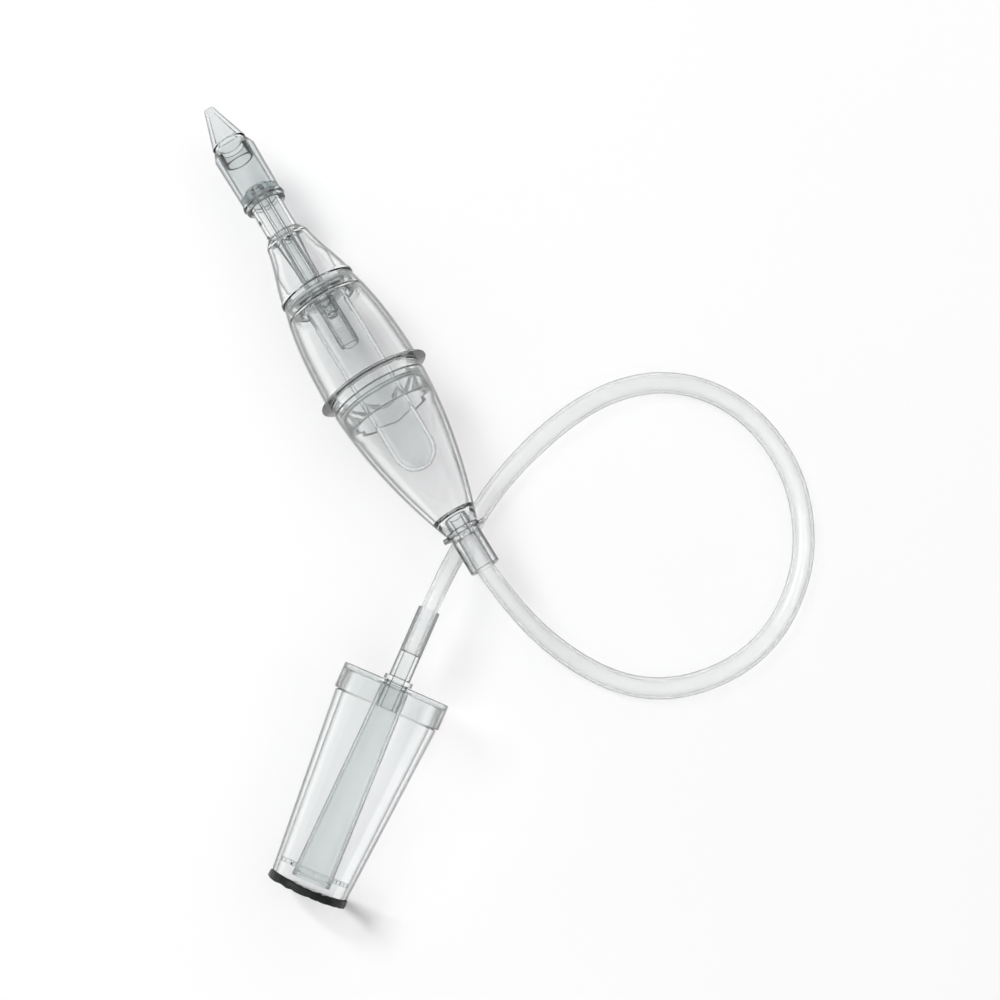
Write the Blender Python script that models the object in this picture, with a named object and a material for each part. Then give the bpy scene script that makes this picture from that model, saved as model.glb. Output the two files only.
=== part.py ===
"""Nasal aspirator driven by a vacuum cleaner: head, hose and vacuum adapter.

The head lies level along X on its round lip, nozzle towards -X and hose towards +X.
Sizes are in millimetres; every mesh is made in metres. Distances along the head are
counted from the nozzle's end, and distances along the adapter from its lid.
"""
import math

import bmesh
import bpy
import numpy as np
from mathutils import Matrix, Vector

MM = 0.001
GAP = 0.3                      # clearance between pieces that touch
WALL = 1.3                     # plain moulded wall
EDGE = 0.4                     # small bevel on a moulded edge
FACE_INSET = 0.05              # an added piece stays this far inside the faces it joins

# Where the head lies
TAIL_X = 91.5                  # end face of the hose socket
LIP_RADIUS = 19.5              # the head rests on this lip
AXIS_HEIGHT = LIP_RADIUS

# Nozzle tube and inlet tube, one inside the other
NOZZLE_TUBE_RADIUS = 2.0
NOZZLE_TUBE_BORE = 1.2
NOZZLE_TUBE_LENGTH = 52.0
TUBE_FLANGE = 1.2              # thickness of the flange on the partition
TUBE_FLANGE_RADIUS = NOZZLE_TUBE_RADIUS + 2.0
INLET_BORE = NOZZLE_TUBE_RADIUS + 0.6
INLET_RADIUS = INLET_BORE + 0.7
INLET_ROOT_RADIUS = INLET_RADIUS + 1.0
INLET_FLANGE_RADIUS = INLET_RADIUS + 1.8
INLET_FLANGE = 1.5
INLET_TAPER = 12.0
INLET_LENGTH = 44.2

# Nozzle
COLLAR_RADIUS = 5.5            # the barrel pushes onto the neck's collar
TIP_LENGTH = 14.4
TIP_END_RADIUS = 1.8
TIP_BORE = 1.1
TIP_BORE_LENGTH = 2.9
TIP_STEP = 1.6                 # open groove between tip and barrel
TIP_SPIGOT_LENGTH = 8.0
TIP_WALL = 1.0
BARREL_LENGTH = 24.0
BARREL_BORE = 5.6
BARREL_FRONT_RADIUS = BARREL_BORE + 1.9
BARREL_BACK_RADIUS = COLLAR_RADIUS + GAP + WALL
TIP_BASE_RADIUS = BARREL_BORE + 0.6
BARREL_CHAMFER = 0.9
BARREL_CHAMFER_LENGTH = 2.4
BEAD_HEIGHT = 0.5              # of the bead round the barrel's back end
BEAD_WIDTH = 0.8
BEAD_SLOPE = 0.5
BEAD_SETBACK = 2.4
PARTITION = 1.8

# Cup and its holder
CUP_RADIUS = 7.7
CUP_WALL = 1.1
CUP_TAPER = 0.4
CUP_LENGTH = 66.2
CUP_WINDOW_START = 2.6
CUP_WINDOW_LENGTH = 5.6
CUP_WINDOW_WIDTH = 4.0
HOLDER_THICKNESS = 1.5
HOLDER_BOSS = 1.9

# Neck
COLLAR_LENGTH = 12.0
COLLAR_BORE = COLLAR_RADIUS - WALL
COLLAR_INSERT = 3.2            # how far the collar goes into the barrel
NECK_LENGTH = 22.6
NECK_FRONT_RADIUS = COLLAR_RADIUS + 0.8
NECK_ROOT_RADIUS = NECK_FRONT_RADIUS + 1.4
NECK_ROOT_LENGTH = 2.2
NECK_SLOPES = (0.15, 0.18)     # of the contour at its two ends
NECK_BORE_SLOPE = 2.0          # from the cone's inside out to the spigot's bore
NECK_SPIGOT_BORE = CUP_RADIUS + 1.6
NECK_SPIGOT_RADIUS = NECK_SPIGOT_BORE + 1.9
NECK_SPIGOT_LENGTH = 5.4
MIDDLE_FRONT_RADIUS = NECK_SPIGOT_RADIUS + GAP + WALL
NECK_BACK_RADIUS = MIDDLE_FRONT_RADIUS + 0.1
SHOULDER_BEAD = 0.4
SHOULDER_THICKNESS = 1.0
VENT_RADIUS = 0.8
VENT_DEPTH = 5.0
COLLAR_VENTS = (4.6, 10.6)     # distances behind the barrel
NECK_VENT = 4.6                # distance behind the collar

# Chamber shells
SHELL_WALL = 1.4
MIDDLE_LENGTH = 35.9
MIDDLE_SLOPES = (0.30, 0.02)
MIDDLE_BACK_RADIUS = LIP_RADIUS - 2.3
LIP_THICKNESS = 1.2
REAR_LENGTH = 52.8
REAR_SLOPES = (-0.05, -0.36)
REAR_FRONT_RADIUS = MIDDLE_BACK_RADIUS - 0.4
REAR_MOUTH_WALL = 1.6
BAND_LENGTH = 3.3
BAND_RADIUS = REAR_FRONT_RADIUS - 0.3
SKIRT_LENGTH = 8.2
SKIRT_RADIUS = REAR_FRONT_RADIUS - REAR_MOUTH_WALL - GAP
SKIRT_WALL = 2.0

# Seals, each in a groove
SEAL_SECTION = 0.5
SEAL_SETBACK = 2.5             # from the shoulder to the middle of the groove

# Hose
HOSE_RADIUS = 3.6
HOSE_TAIL_RADIUS = 3.0         # the soft hose is squeezed in its two sockets
HOSE_STEM_RADIUS = 2.75
HOSE_SQUEEZE = 75.0            # the hose is full again this far from its ends

# Hose socket at the tail
AIR_BORE = 2.2
HOSE_INSERT = 11.2
SOCKET_LENGTH = 13.0
SOCKET_RADIUS = HOSE_TAIL_RADIUS + GAP + 1.8
SOCKET_SPIGOT_RADIUS = 4.0
SOCKET_SPIGOT_LENGTH = 5.2
SOCKET_FLANGE_RADIUS = SOCKET_RADIUS + 1.1
REAR_BACK_RADIUS = SOCKET_SPIGOT_RADIUS + GAP + SHELL_WALL
LUG_REACH = SOCKET_FLANGE_RADIUS + 1.2
LUG_ROOT = SOCKET_SPIGOT_RADIUS + 0.5
LUG_WIDTH = 5.0
LUG_THICKNESS = 1.3

# Adapter, lying on its side
STEM_MOUTH = (94.3, -22.4)     # where the hose leaves the stem, in plan
ADAPTER_HEADING = math.radians(-54.3)
STEM_LENGTH = 25.6
STEM_WALL = 0.55
STEM_INSIDE = 7.0
STEM_COLLAR = 1.5
STEM_HOSE_DEPTH = 15.0
STEM_RADIUS = HOSE_STEM_RADIUS + GAP + STEM_WALL
STEM_COLLAR_RADIUS = STEM_RADIUS + 1.2
LID_RADIUS = 17.9
LID_THICKNESS = 1.6
LID_SKIRT = 8.4
LID_SKIRT_WALL = 1.0
CONE_LENGTH = 59.2
CONE_WIDE_RADIUS = LID_RADIUS - 0.6
CONE_NARROW_RADIUS = 12.7
CONE_WALL = 1.3
RING_THICKNESS = 2.4
RING_RADIUS = CONE_NARROW_RADIUS + 0.3
RING_WIDTH = 1.6
INNER_TUBE_WALL = 0.8
INNER_TUBE_WIDE_RADIUS = 6.4
INNER_TUBE_SETBACK = 1.7       # from the cone's narrow end to the tube's end
SUPPORT_SETBACK = 4.0          # from the narrow end to the support
SUPPORT_THICKNESS = 1.4
SUPPORT_RIM = 0.9
SPOKE_WIDTH = 1.6
SPOKES = 3

# Facets
LARGE_FACETS = 36
SMALL_FACETS = 28
CURVE_STEPS = 6
REAR_CURVE_STEPS = 9

# Colours
CLEAR = (0.80, 0.90, 0.87)
SEAL_GREY = (0.30, 0.33, 0.33)
HOSE_WHITE = (0.88, 0.90, 0.89)
RING_BLACK = (0.03, 0.03, 0.03)
CUTTER_GREY = (0.50, 0.50, 0.50)

# Stations along the head, each from the one before it
barrel_front = TIP_LENGTH + TIP_STEP
barrel_back = barrel_front + BARREL_LENGTH
collar_front = barrel_back - COLLAR_INSERT
collar_back = barrel_back + COLLAR_LENGTH
neck_back = collar_back + NECK_LENGTH
middle_front = neck_back + GAP
middle_back = middle_front + MIDDLE_LENGTH
lip_back = middle_back + LIP_THICKNESS
band_back = lip_back + BAND_LENGTH
skirt_back = band_back + SKIRT_LENGTH
rear_front = band_back + GAP
rear_back = rear_front + REAR_LENGTH
flange_front = rear_back + GAP
flange_back = flange_front + LUG_THICKNESS
tail = flange_back + SOCKET_LENGTH
spigot_back = neck_back + NECK_SPIGOT_LENGTH
holder_back = spigot_back - HOLDER_THICKNESS
cup_front = holder_back + GAP
cup_back = cup_front + CUP_LENGTH

# Stations along the adapter
stem_end = LID_THICKNESS + STEM_INSIDE
cone_front = LID_SKIRT + GAP
cone_back = cone_front + CONE_LENGTH
ring_front = cone_back + GAP
ring_back = ring_front + RING_THICKNESS

# The free stretch of the hose, from the tail round to the adapter's stem
HOSE_ROUTE = [
    (98.5, 0.6, 18.6), (107.0, 2.0, 15.6), (115.0, 4.0, 11.9), (123.0, 6.9, 8.3),
    (131.5, 11.0, 5.2), (140.5, 16.6, 3.8), (148.6, 24.2, 3.6), (154.8, 34.3, 3.6),
    (158.2, 46.5, 3.6), (158.6, 59.5, 3.6), (155.4, 72.0, 3.6), (148.9, 83.3, 3.6),
    (139.9, 92.9, 3.6), (128.7, 100.0, 3.6), (116.4, 104.4, 3.6), (103.6, 105.6, 3.6),
    (91.0, 103.8, 3.6), (79.6, 98.9, 3.6), (70.2, 91.2, 3.6), (63.6, 81.4, 3.6),
    (60.0, 70.2, 3.6), (59.0, 58.2, 3.6), (60.1, 46.2, 3.6), (62.5, 34.6, 3.6),
    (65.6, 24.2, 3.6), (69.3, 14.9, 3.6), (73.4, 7.2, 4.1), (76.8, 2.0, 5.9),
    (79.7, -2.1, 9.0), (82.6, -6.2, 13.1), (85.5, -10.2, 16.9), (88.5, -14.3, 19.4),
]
HOSE_SPACING = 10.0            # between the points of the finished hose, at most
HOSE_STRAIGHT = 1.5            # the hose leaves each socket straight for this far


def clear_scene():
    for obj in list(bpy.data.objects):
        bpy.data.objects.remove(obj, do_unlink=True)


def plastic(name, colour, roughness, alpha=1.0):
    """A plain moulded plastic of one colour."""
    material = bpy.data.materials.new(name)
    material.use_nodes = True
    shader = material.node_tree.nodes["Principled BSDF"]
    shader.inputs["Base Color"].default_value = (*colour, 1.0)
    shader.inputs["Roughness"].default_value = roughness
    shader.inputs["Metallic"].default_value = 0.0
    shader.inputs["Alpha"].default_value = alpha
    material.diffuse_color = (*colour, 1.0)
    return material


def clear_plastic(name):
    return plastic(name, CLEAR, 0.08, 0.4)


def empty(name, location, parent=None):
    """An empty that holds pieces; its X axis is their axis."""
    obj = bpy.data.objects.new(name, None)
    obj.location = location
    obj.parent = parent
    bpy.context.collection.objects.link(obj)
    return obj


def finish(bm, name, material, parent, smooth_angle=40.0):
    """Turn a bmesh into a named object with outward faces."""
    bmesh.ops.recalc_face_normals(bm, faces=bm.faces)
    mesh = bpy.data.meshes.new(name)
    bm.to_mesh(mesh)
    bm.free()
    mesh.materials.append(material)
    mesh.shade_smooth()
    mesh.set_sharp_from_angle(angle=math.radians(smooth_angle))
    obj = bpy.data.objects.new(name, mesh)
    obj.parent = parent
    bpy.context.collection.objects.link(obj)
    return obj


def turned(name, outline, material, parent, facets=SMALL_FACETS):
    """Turn a closed outline of (along, radius) points about the X axis."""
    bm = bmesh.new()
    verts = [bm.verts.new((along * MM, 0.0, radius * MM)) for along, radius in outline]
    closed = outline[0][1] > 0 or outline[-1][1] > 0
    edges = [bm.edges.new(pair) for pair in zip(verts, verts[1:])]
    if closed:
        edges.append(bm.edges.new((verts[-1], verts[0])))
    bmesh.ops.spin(bm, geom=verts + edges, cent=(0, 0, 0), axis=(1, 0, 0),
                   angle=2 * math.pi, steps=facets, use_merge=True)
    bmesh.ops.remove_doubles(bm, verts=bm.verts, dist=0.001 * MM)
    return finish(bm, name, material, parent)


def swept(start, end, slopes, steps=CURVE_STEPS):
    """Points of a smooth contour between two (along, radius) points."""
    length = end[0] - start[0]
    start_slope, end_slope = slopes
    points = []
    for step in range(steps + 1):
        t = step / steps
        radius = (start[1] * (2 * t**3 - 3 * t**2 + 1) + start_slope * length * (t**3 - 2 * t**2 + t)
                  + end[1] * (3 * t**2 - 2 * t**3) + end_slope * length * (t**3 - t**2))
        points.append((start[0] + t * length, radius))
    return points


def dome(base, radius, depth, steps=6):
    """Quarter ellipse from a side wall to the axis, closing the end of a cup."""
    return [(base + depth * math.sin(step / steps * math.pi / 2),
             radius * math.cos(step / steps * math.pi / 2) if step < steps else 0.0)
            for step in range(steps + 1)]


def ring(name, centre, radius, section, material, parent, facets=LARGE_FACETS):
    """A round sealing ring about the X axis."""
    sides = 6
    outline = [(centre + section * math.cos(2 * math.pi * side / sides),
                radius + section * math.sin(2 * math.pi * side / sides)) for side in range(sides)]
    return turned(name, outline, material, parent, facets)


def hidden(obj):
    """Mark a cutter, so that only its cut shows."""
    obj.hide_render = True
    obj.display_type = "WIRE"
    return obj


def rod(name, centre, direction, radius, length, parent, facets=16):
    """A round rod through a point, along a direction, as a cutter."""
    bm = bmesh.new()
    bmesh.ops.create_cone(bm, cap_ends=True, segments=facets, radius1=radius * MM,
                          radius2=radius * MM, depth=length * MM)
    turn = Vector((0, 0, 1)).rotation_difference(Vector(direction)).to_matrix().to_4x4()
    place = Matrix.Translation(Vector(centre) * MM) @ turn
    bmesh.ops.transform(bm, matrix=place, verts=bm.verts)
    material = bpy.data.materials["guide"]
    return hidden(finish(bm, name, material, parent))


def block(name, centre, size, parent, turn=0.0):
    """A box, turned about the X axis."""
    bm = bmesh.new()
    bmesh.ops.create_cube(bm, size=1.0)
    scale = Matrix.Diagonal((size[0] * MM, size[1] * MM, size[2] * MM, 1.0))
    place = Matrix.Rotation(turn, 4, "X") @ Matrix.Translation(Vector(centre) * MM) @ scale
    bmesh.ops.transform(bm, matrix=place, verts=bm.verts)
    material = bpy.data.materials["guide"]
    return hidden(finish(bm, name, material, parent))


def combine(obj, tool, operation):
    """Cut a piece with a tool, or join the tool to it."""
    modifier = obj.modifiers.new(f"{operation.lower()}_{tool.name}", "BOOLEAN")
    modifier.operation = operation
    modifier.solver = "EXACT"
    modifier.object = tool


def make_nozzle(axis):
    """Tip, barrel and the small tube that carries what is drawn in."""
    spigot_radius = BARREL_BORE - GAP
    spigot_back = TIP_LENGTH + TIP_SPIGOT_LENGTH
    turned("nozzle_tip", [
        (0.0, TIP_BORE), (0.0, TIP_END_RADIUS - EDGE), (EDGE, TIP_END_RADIUS),
        (TIP_LENGTH - EDGE, TIP_BASE_RADIUS), (TIP_LENGTH, TIP_BASE_RADIUS - EDGE),
        (TIP_LENGTH, spigot_radius), (spigot_back, spigot_radius),
        (spigot_back, spigot_radius - TIP_WALL), (TIP_LENGTH, spigot_radius - TIP_WALL),
        (TIP_BORE_LENGTH, TIP_BORE)], clear_plastic("clear_tip"), axis)

    recess = barrel_back - COLLAR_INSERT - GAP
    partition_front = recess - PARTITION
    bead = barrel_back - BEAD_SETBACK
    bead_radius = BARREL_BACK_RADIUS + BEAD_HEIGHT
    turned("nozzle_barrel", [
        (barrel_front, BARREL_BORE), (barrel_front, BARREL_FRONT_RADIUS - BARREL_CHAMFER),
        (barrel_front + BARREL_CHAMFER_LENGTH, BARREL_FRONT_RADIUS),
        (bead - BEAD_SLOPE, BARREL_BACK_RADIUS), (bead, bead_radius), (bead + BEAD_WIDTH, bead_radius),
        (bead + BEAD_WIDTH + BEAD_SLOPE, BARREL_BACK_RADIUS), (barrel_back, BARREL_BACK_RADIUS - EDGE),
        (barrel_back, COLLAR_RADIUS + GAP), (recess, COLLAR_RADIUS + GAP),
        (recess, NOZZLE_TUBE_RADIUS + GAP), (partition_front, NOZZLE_TUBE_RADIUS + GAP),
        (partition_front, BARREL_BORE)], clear_plastic("clear_barrel"), axis, LARGE_FACETS)

    flange_back_face = partition_front - GAP
    flange_front_face = flange_back_face - TUBE_FLANGE
    tube_end = flange_front_face + NOZZLE_TUBE_LENGTH
    turned("nozzle_tube", [
        (flange_front_face, NOZZLE_TUBE_BORE), (flange_front_face, TUBE_FLANGE_RADIUS),
        (flange_back_face, TUBE_FLANGE_RADIUS), (flange_back_face, NOZZLE_TUBE_RADIUS),
        (tube_end, NOZZLE_TUBE_RADIUS), (tube_end, NOZZLE_TUBE_BORE)],
        clear_plastic("clear_nozzle_tube"), axis)


def neck_contour():
    return swept((collar_back + NECK_ROOT_LENGTH, NECK_ROOT_RADIUS),
                 (neck_back - SHOULDER_THICKNESS, NECK_BACK_RADIUS), NECK_SLOPES)


def make_neck(axis):
    """Collar and cone, the inlet tube in it, the cup's holder and a seal."""
    counterbore = collar_back + GAP
    flange_back_face = counterbore + GAP + INLET_FLANGE
    outer = neck_contour()
    inner = [(along, radius - SHELL_WALL) for along, radius in outer
             if flange_back_face < along and radius - SHELL_WALL < NECK_SPIGOT_BORE]
    bead_radius = NECK_BACK_RADIUS + SHOULDER_BEAD
    groove_middle = neck_back + SEAL_SETBACK
    half_groove = SEAL_SECTION + GAP
    mouth = NECK_SPIGOT_RADIUS + GAP
    seal_radius = mouth - GAP - SEAL_SECTION
    groove_floor = seal_radius - SEAL_SECTION - GAP
    neck = turned("neck_cone", [
        (collar_front, COLLAR_BORE), (collar_front, COLLAR_RADIUS), (collar_back, COLLAR_RADIUS),
        (collar_back, NECK_FRONT_RADIUS), *outer,
        (neck_back - SHOULDER_THICKNESS, bead_radius), (neck_back, bead_radius),
        (neck_back, NECK_SPIGOT_RADIUS), (groove_middle - half_groove, NECK_SPIGOT_RADIUS),
        (groove_middle - half_groove, groove_floor), (groove_middle + half_groove, groove_floor),
        (groove_middle + half_groove, NECK_SPIGOT_RADIUS), (spigot_back, NECK_SPIGOT_RADIUS),
        (spigot_back, NECK_SPIGOT_BORE), (inner[-1][0] + NECK_BORE_SLOPE, NECK_SPIGOT_BORE),
        *reversed(inner), (flange_back_face + GAP, INLET_FLANGE_RADIUS + GAP),
        (counterbore, INLET_FLANGE_RADIUS + GAP), (counterbore, COLLAR_BORE)],
        clear_plastic("clear_neck"), axis, LARGE_FACETS)
    for number, back in enumerate(COLLAR_VENTS):
        at = (barrel_back + back, -COLLAR_RADIUS, 0.0)
        cutter = rod(f"vent_cutter_{number}", at, (0, 1, 0), VENT_RADIUS, VENT_DEPTH, axis)
        combine(neck, cutter, "DIFFERENCE")
    at = (collar_back + NECK_VENT, 0.0, NECK_ROOT_RADIUS)
    combine(neck, rod("vent_cutter_top", at, (0, 0, 1), VENT_RADIUS, VENT_DEPTH, axis), "DIFFERENCE")

    flange_front_face = counterbore + GAP
    inlet_end = flange_front_face + INLET_LENGTH
    turned("inlet_tube", [
        (flange_front_face, INLET_BORE), (flange_front_face, INLET_FLANGE_RADIUS),
        (flange_back_face, INLET_FLANGE_RADIUS), (flange_back_face, INLET_ROOT_RADIUS),
        (flange_back_face + INLET_TAPER, INLET_RADIUS), (inlet_end, INLET_RADIUS),
        (inlet_end, INLET_BORE)], clear_plastic("clear_inlet"), axis)

    ring("neck_seal", groove_middle, seal_radius, SEAL_SECTION,
         plastic("soft_seal", SEAL_GREY, 0.6), axis)

    boss_radius = CUP_RADIUS - CUP_WALL - GAP
    hub_bore = INLET_RADIUS + GAP
    turned("cup_holder", [
        (spigot_back - 2 * HOLDER_THICKNESS, hub_bore),
        (spigot_back - 2 * HOLDER_THICKNESS, NECK_SPIGOT_BORE - GAP),
        (holder_back, NECK_SPIGOT_BORE - GAP), (holder_back, boss_radius),
        (holder_back + HOLDER_BOSS, boss_radius), (holder_back + HOLDER_BOSS, hub_bore)],
        clear_plastic("clear_holder"), axis)


def make_cup(axis):
    """The cup that catches what is drawn in, with four air windows near its mouth."""
    depth = CUP_RADIUS
    side_end = cup_back - depth
    outer = dome(side_end, CUP_RADIUS - CUP_TAPER, depth)
    inner = dome(side_end, CUP_RADIUS - CUP_TAPER - CUP_WALL, depth - CUP_WALL)
    cup = turned("collection_cup", [
        *reversed(inner), (cup_front, CUP_RADIUS - CUP_WALL), (cup_front, CUP_RADIUS), *outer],
        clear_plastic("clear_cup"), axis)
    middle = cup_front + CUP_WINDOW_START + CUP_WINDOW_LENGTH / 2
    for name, turn in (("window_cutter_top", 0.0), ("window_cutter_side", math.pi / 2)):
        size = (CUP_WINDOW_LENGTH, CUP_WINDOW_WIDTH, 3 * CUP_RADIUS)
        combine(cup, block(name, (middle, 0.0, 0.0), size, axis, turn), "DIFFERENCE")


def make_middle_shell(axis):
    """Front half of the chamber, with the lip, the band and the skirt for the rear half."""
    outer = swept((middle_front, MIDDLE_FRONT_RADIUS), (middle_back, MIDDLE_BACK_RADIUS), MIDDLE_SLOPES)
    mouth_back = spigot_back + GAP
    inner = [(along, radius - SHELL_WALL) for along, radius in outer if along > mouth_back + GAP]
    mouth = NECK_SPIGOT_RADIUS + GAP
    skirt_bore = SKIRT_RADIUS - SKIRT_WALL
    groove_middle = band_back + SEAL_SETBACK
    half_groove = SEAL_SECTION + GAP
    seal_radius = SKIRT_RADIUS - SEAL_SECTION
    groove_floor = seal_radius - SEAL_SECTION - GAP
    turned("middle_shell", [
        (middle_front, mouth), *outer, (middle_back, LIP_RADIUS), (lip_back, LIP_RADIUS),
        (lip_back, BAND_RADIUS), (band_back, BAND_RADIUS), (band_back, SKIRT_RADIUS),
        (groove_middle - half_groove, SKIRT_RADIUS), (groove_middle - half_groove, groove_floor),
        (groove_middle + half_groove, groove_floor), (groove_middle + half_groove, SKIRT_RADIUS),
        (skirt_back, SKIRT_RADIUS), (skirt_back, skirt_bore), (lip_back, skirt_bore),
        *reversed(inner), (mouth_back, mouth)], clear_plastic("clear_middle"), axis, LARGE_FACETS)
    ring("joint_seal", groove_middle, seal_radius, SEAL_SECTION,
         plastic("soft_joint_seal", SEAL_GREY, 0.6), axis)


def make_rear(axis):
    """Rear half of the chamber and the socket that takes the hose."""
    outer = swept((rear_front, REAR_FRONT_RADIUS), (rear_back, REAR_BACK_RADIUS), REAR_SLOPES,
                  REAR_CURVE_STEPS)
    skirt_room = SKIRT_RADIUS + GAP
    room_back = skirt_back + 3 * GAP
    spigot_room = SOCKET_SPIGOT_RADIUS + GAP
    spigot_front = flange_front - SOCKET_SPIGOT_LENGTH
    inner = [(along, radius - SHELL_WALL) for along, radius in outer
             if room_back + GAP < along < spigot_front - GAP and radius - SHELL_WALL > spigot_room]
    turned("rear_shell", [
        (rear_front, skirt_room), *outer, (rear_back, spigot_room), (spigot_front - GAP, spigot_room),
        *reversed(inner), (room_back, skirt_room)], clear_plastic("clear_rear"), axis, LARGE_FACETS)

    hose_stop = tail - HOSE_INSERT - GAP
    hose_room = HOSE_TAIL_RADIUS + GAP
    socket = turned("outlet_socket", [
        (spigot_front, AIR_BORE), (spigot_front, SOCKET_SPIGOT_RADIUS),
        (flange_front, SOCKET_SPIGOT_RADIUS), (flange_front, SOCKET_FLANGE_RADIUS),
        (flange_back, SOCKET_FLANGE_RADIUS), (flange_back, SOCKET_RADIUS), (tail, SOCKET_RADIUS),
        (tail, hose_room), (hose_stop, hose_room), (hose_stop, AIR_BORE)],
        clear_plastic("clear_socket"), axis)
    reach = LUG_REACH - LUG_ROOT
    for side in (-1, 1):
        centre = ((flange_front + flange_back) / 2, side * (LUG_REACH - reach / 2), 0.0)
        size = (LUG_THICKNESS - 2 * FACE_INSET, reach, LUG_WIDTH)
        lug = block(f"lug_{side + 1}", centre, size, axis)
        combine(socket, lug, "UNION")


def adapter_tilt():
    """The lid's skirt and the end ring both rest on the surface."""
    return math.atan((LID_RADIUS - RING_RADIUS) / (ring_back - LID_SKIRT))


def adapter_frame():
    """Matrix of the adapter: origin at the lid's face, X towards the narrow end."""
    tilt = adapter_tilt()
    turn = Matrix.Rotation(ADAPTER_HEADING, 4, "Z") @ Matrix.Rotation(tilt, 4, "Y")
    lid_height = LID_RADIUS * math.cos(tilt) + LID_SKIRT * math.sin(tilt)
    along = turn @ Vector((1.0, 0.0, 0.0))
    mouth = Vector((*STEM_MOUTH, lid_height + STEM_LENGTH * math.sin(tilt)))
    return Matrix.Translation((mouth + along * STEM_LENGTH) * MM) @ turn


def make_adapter():
    """Stem, lid, cone, inner tube, its support and the end ring."""
    axis = empty("adapter_axis", (0, 0, 0))
    axis.matrix_world = adapter_frame()
    hose_room = HOSE_STEM_RADIUS + GAP
    hose_stop = -STEM_LENGTH + STEM_HOSE_DEPTH + GAP
    turned("adapter_stem", [
        (-STEM_LENGTH, hose_room), (-STEM_LENGTH, STEM_RADIUS),
        (-GAP - STEM_COLLAR, STEM_RADIUS), (-GAP - STEM_COLLAR, STEM_COLLAR_RADIUS),
        (-GAP, STEM_COLLAR_RADIUS), (-GAP, STEM_RADIUS), (stem_end, STEM_RADIUS),
        (stem_end, AIR_BORE), (hose_stop, AIR_BORE), (hose_stop, hose_room)],
        clear_plastic("clear_stem"), axis)

    turned("adapter_lid", [
        (0.0, STEM_RADIUS + GAP), (0.0, LID_RADIUS - EDGE), (EDGE, LID_RADIUS),
        (LID_SKIRT, LID_RADIUS), (LID_SKIRT, LID_RADIUS - LID_SKIRT_WALL),
        (LID_THICKNESS, LID_RADIUS - LID_SKIRT_WALL), (LID_THICKNESS, STEM_RADIUS + GAP)],
        clear_plastic("clear_lid"), axis, LARGE_FACETS)

    plug_radius = LID_RADIUS - LID_SKIRT_WALL - GAP
    plug_bore = plug_radius - CONE_WALL
    turned("adapter_cone", [
        (LID_THICKNESS + GAP, plug_bore), (LID_THICKNESS + GAP, plug_radius),
        (cone_front, plug_radius), (cone_front, CONE_WIDE_RADIUS), (cone_back, CONE_NARROW_RADIUS),
        (cone_back, CONE_NARROW_RADIUS - CONE_WALL), (cone_front, plug_bore)],
        clear_plastic("clear_cone"), axis, LARGE_FACETS)

    tube_front = LID_THICKNESS + 2 * GAP
    tube_root = STEM_RADIUS + GAP
    tube_back = cone_back - INNER_TUBE_SETBACK
    turned("adapter_inner_tube", [
        (tube_front, tube_root), (tube_front, tube_root + INNER_TUBE_WALL),
        (tube_back, INNER_TUBE_WIDE_RADIUS), (tube_back, INNER_TUBE_WIDE_RADIUS - INNER_TUBE_WALL),
        (stem_end, tube_root)], clear_plastic("clear_inner_tube"), axis)

    support_back = cone_back - SUPPORT_SETBACK
    support_front = support_back - SUPPORT_THICKNESS
    slope = (CONE_WIDE_RADIUS - CONE_NARROW_RADIUS) / CONE_LENGTH
    rim_radius = CONE_NARROW_RADIUS - CONE_WALL - GAP
    hub_bore = INNER_TUBE_WIDE_RADIUS + GAP
    hub_radius = hub_bore + SUPPORT_RIM
    support = turned("adapter_support", [
        (support_front, rim_radius - SUPPORT_RIM), (support_front, rim_radius + slope * SUPPORT_SETBACK),
        (support_back, rim_radius + slope * SUPPORT_SETBACK), (support_back, rim_radius - SUPPORT_RIM)],
        clear_plastic("clear_support"), axis)
    hub = hidden(turned("support_hub", [
        (support_front, hub_bore), (support_front, hub_radius),
        (support_back, hub_radius), (support_back, hub_bore)],
        bpy.data.materials["guide"], axis))
    combine(support, hub, "UNION")
    span = rim_radius - hub_radius
    for number in range(SPOKES):
        centre = ((support_front + support_back) / 2, 0.0, (rim_radius + hub_radius - SUPPORT_RIM) / 2)
        size = (SUPPORT_THICKNESS - 2 * FACE_INSET, SPOKE_WIDTH, span)
        spoke = block(f"spoke_{number}", centre, size, axis, 2 * math.pi * number / SPOKES)
        combine(support, spoke, "UNION")

    turned("adapter_end_ring", [
        (ring_front, RING_RADIUS - RING_WIDTH), (ring_front, RING_RADIUS), (ring_back, RING_RADIUS),
        (ring_back, RING_RADIUS - RING_WIDTH)], plastic("dark_ring", RING_BLACK, 0.4),
        axis, LARGE_FACETS)


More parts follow.
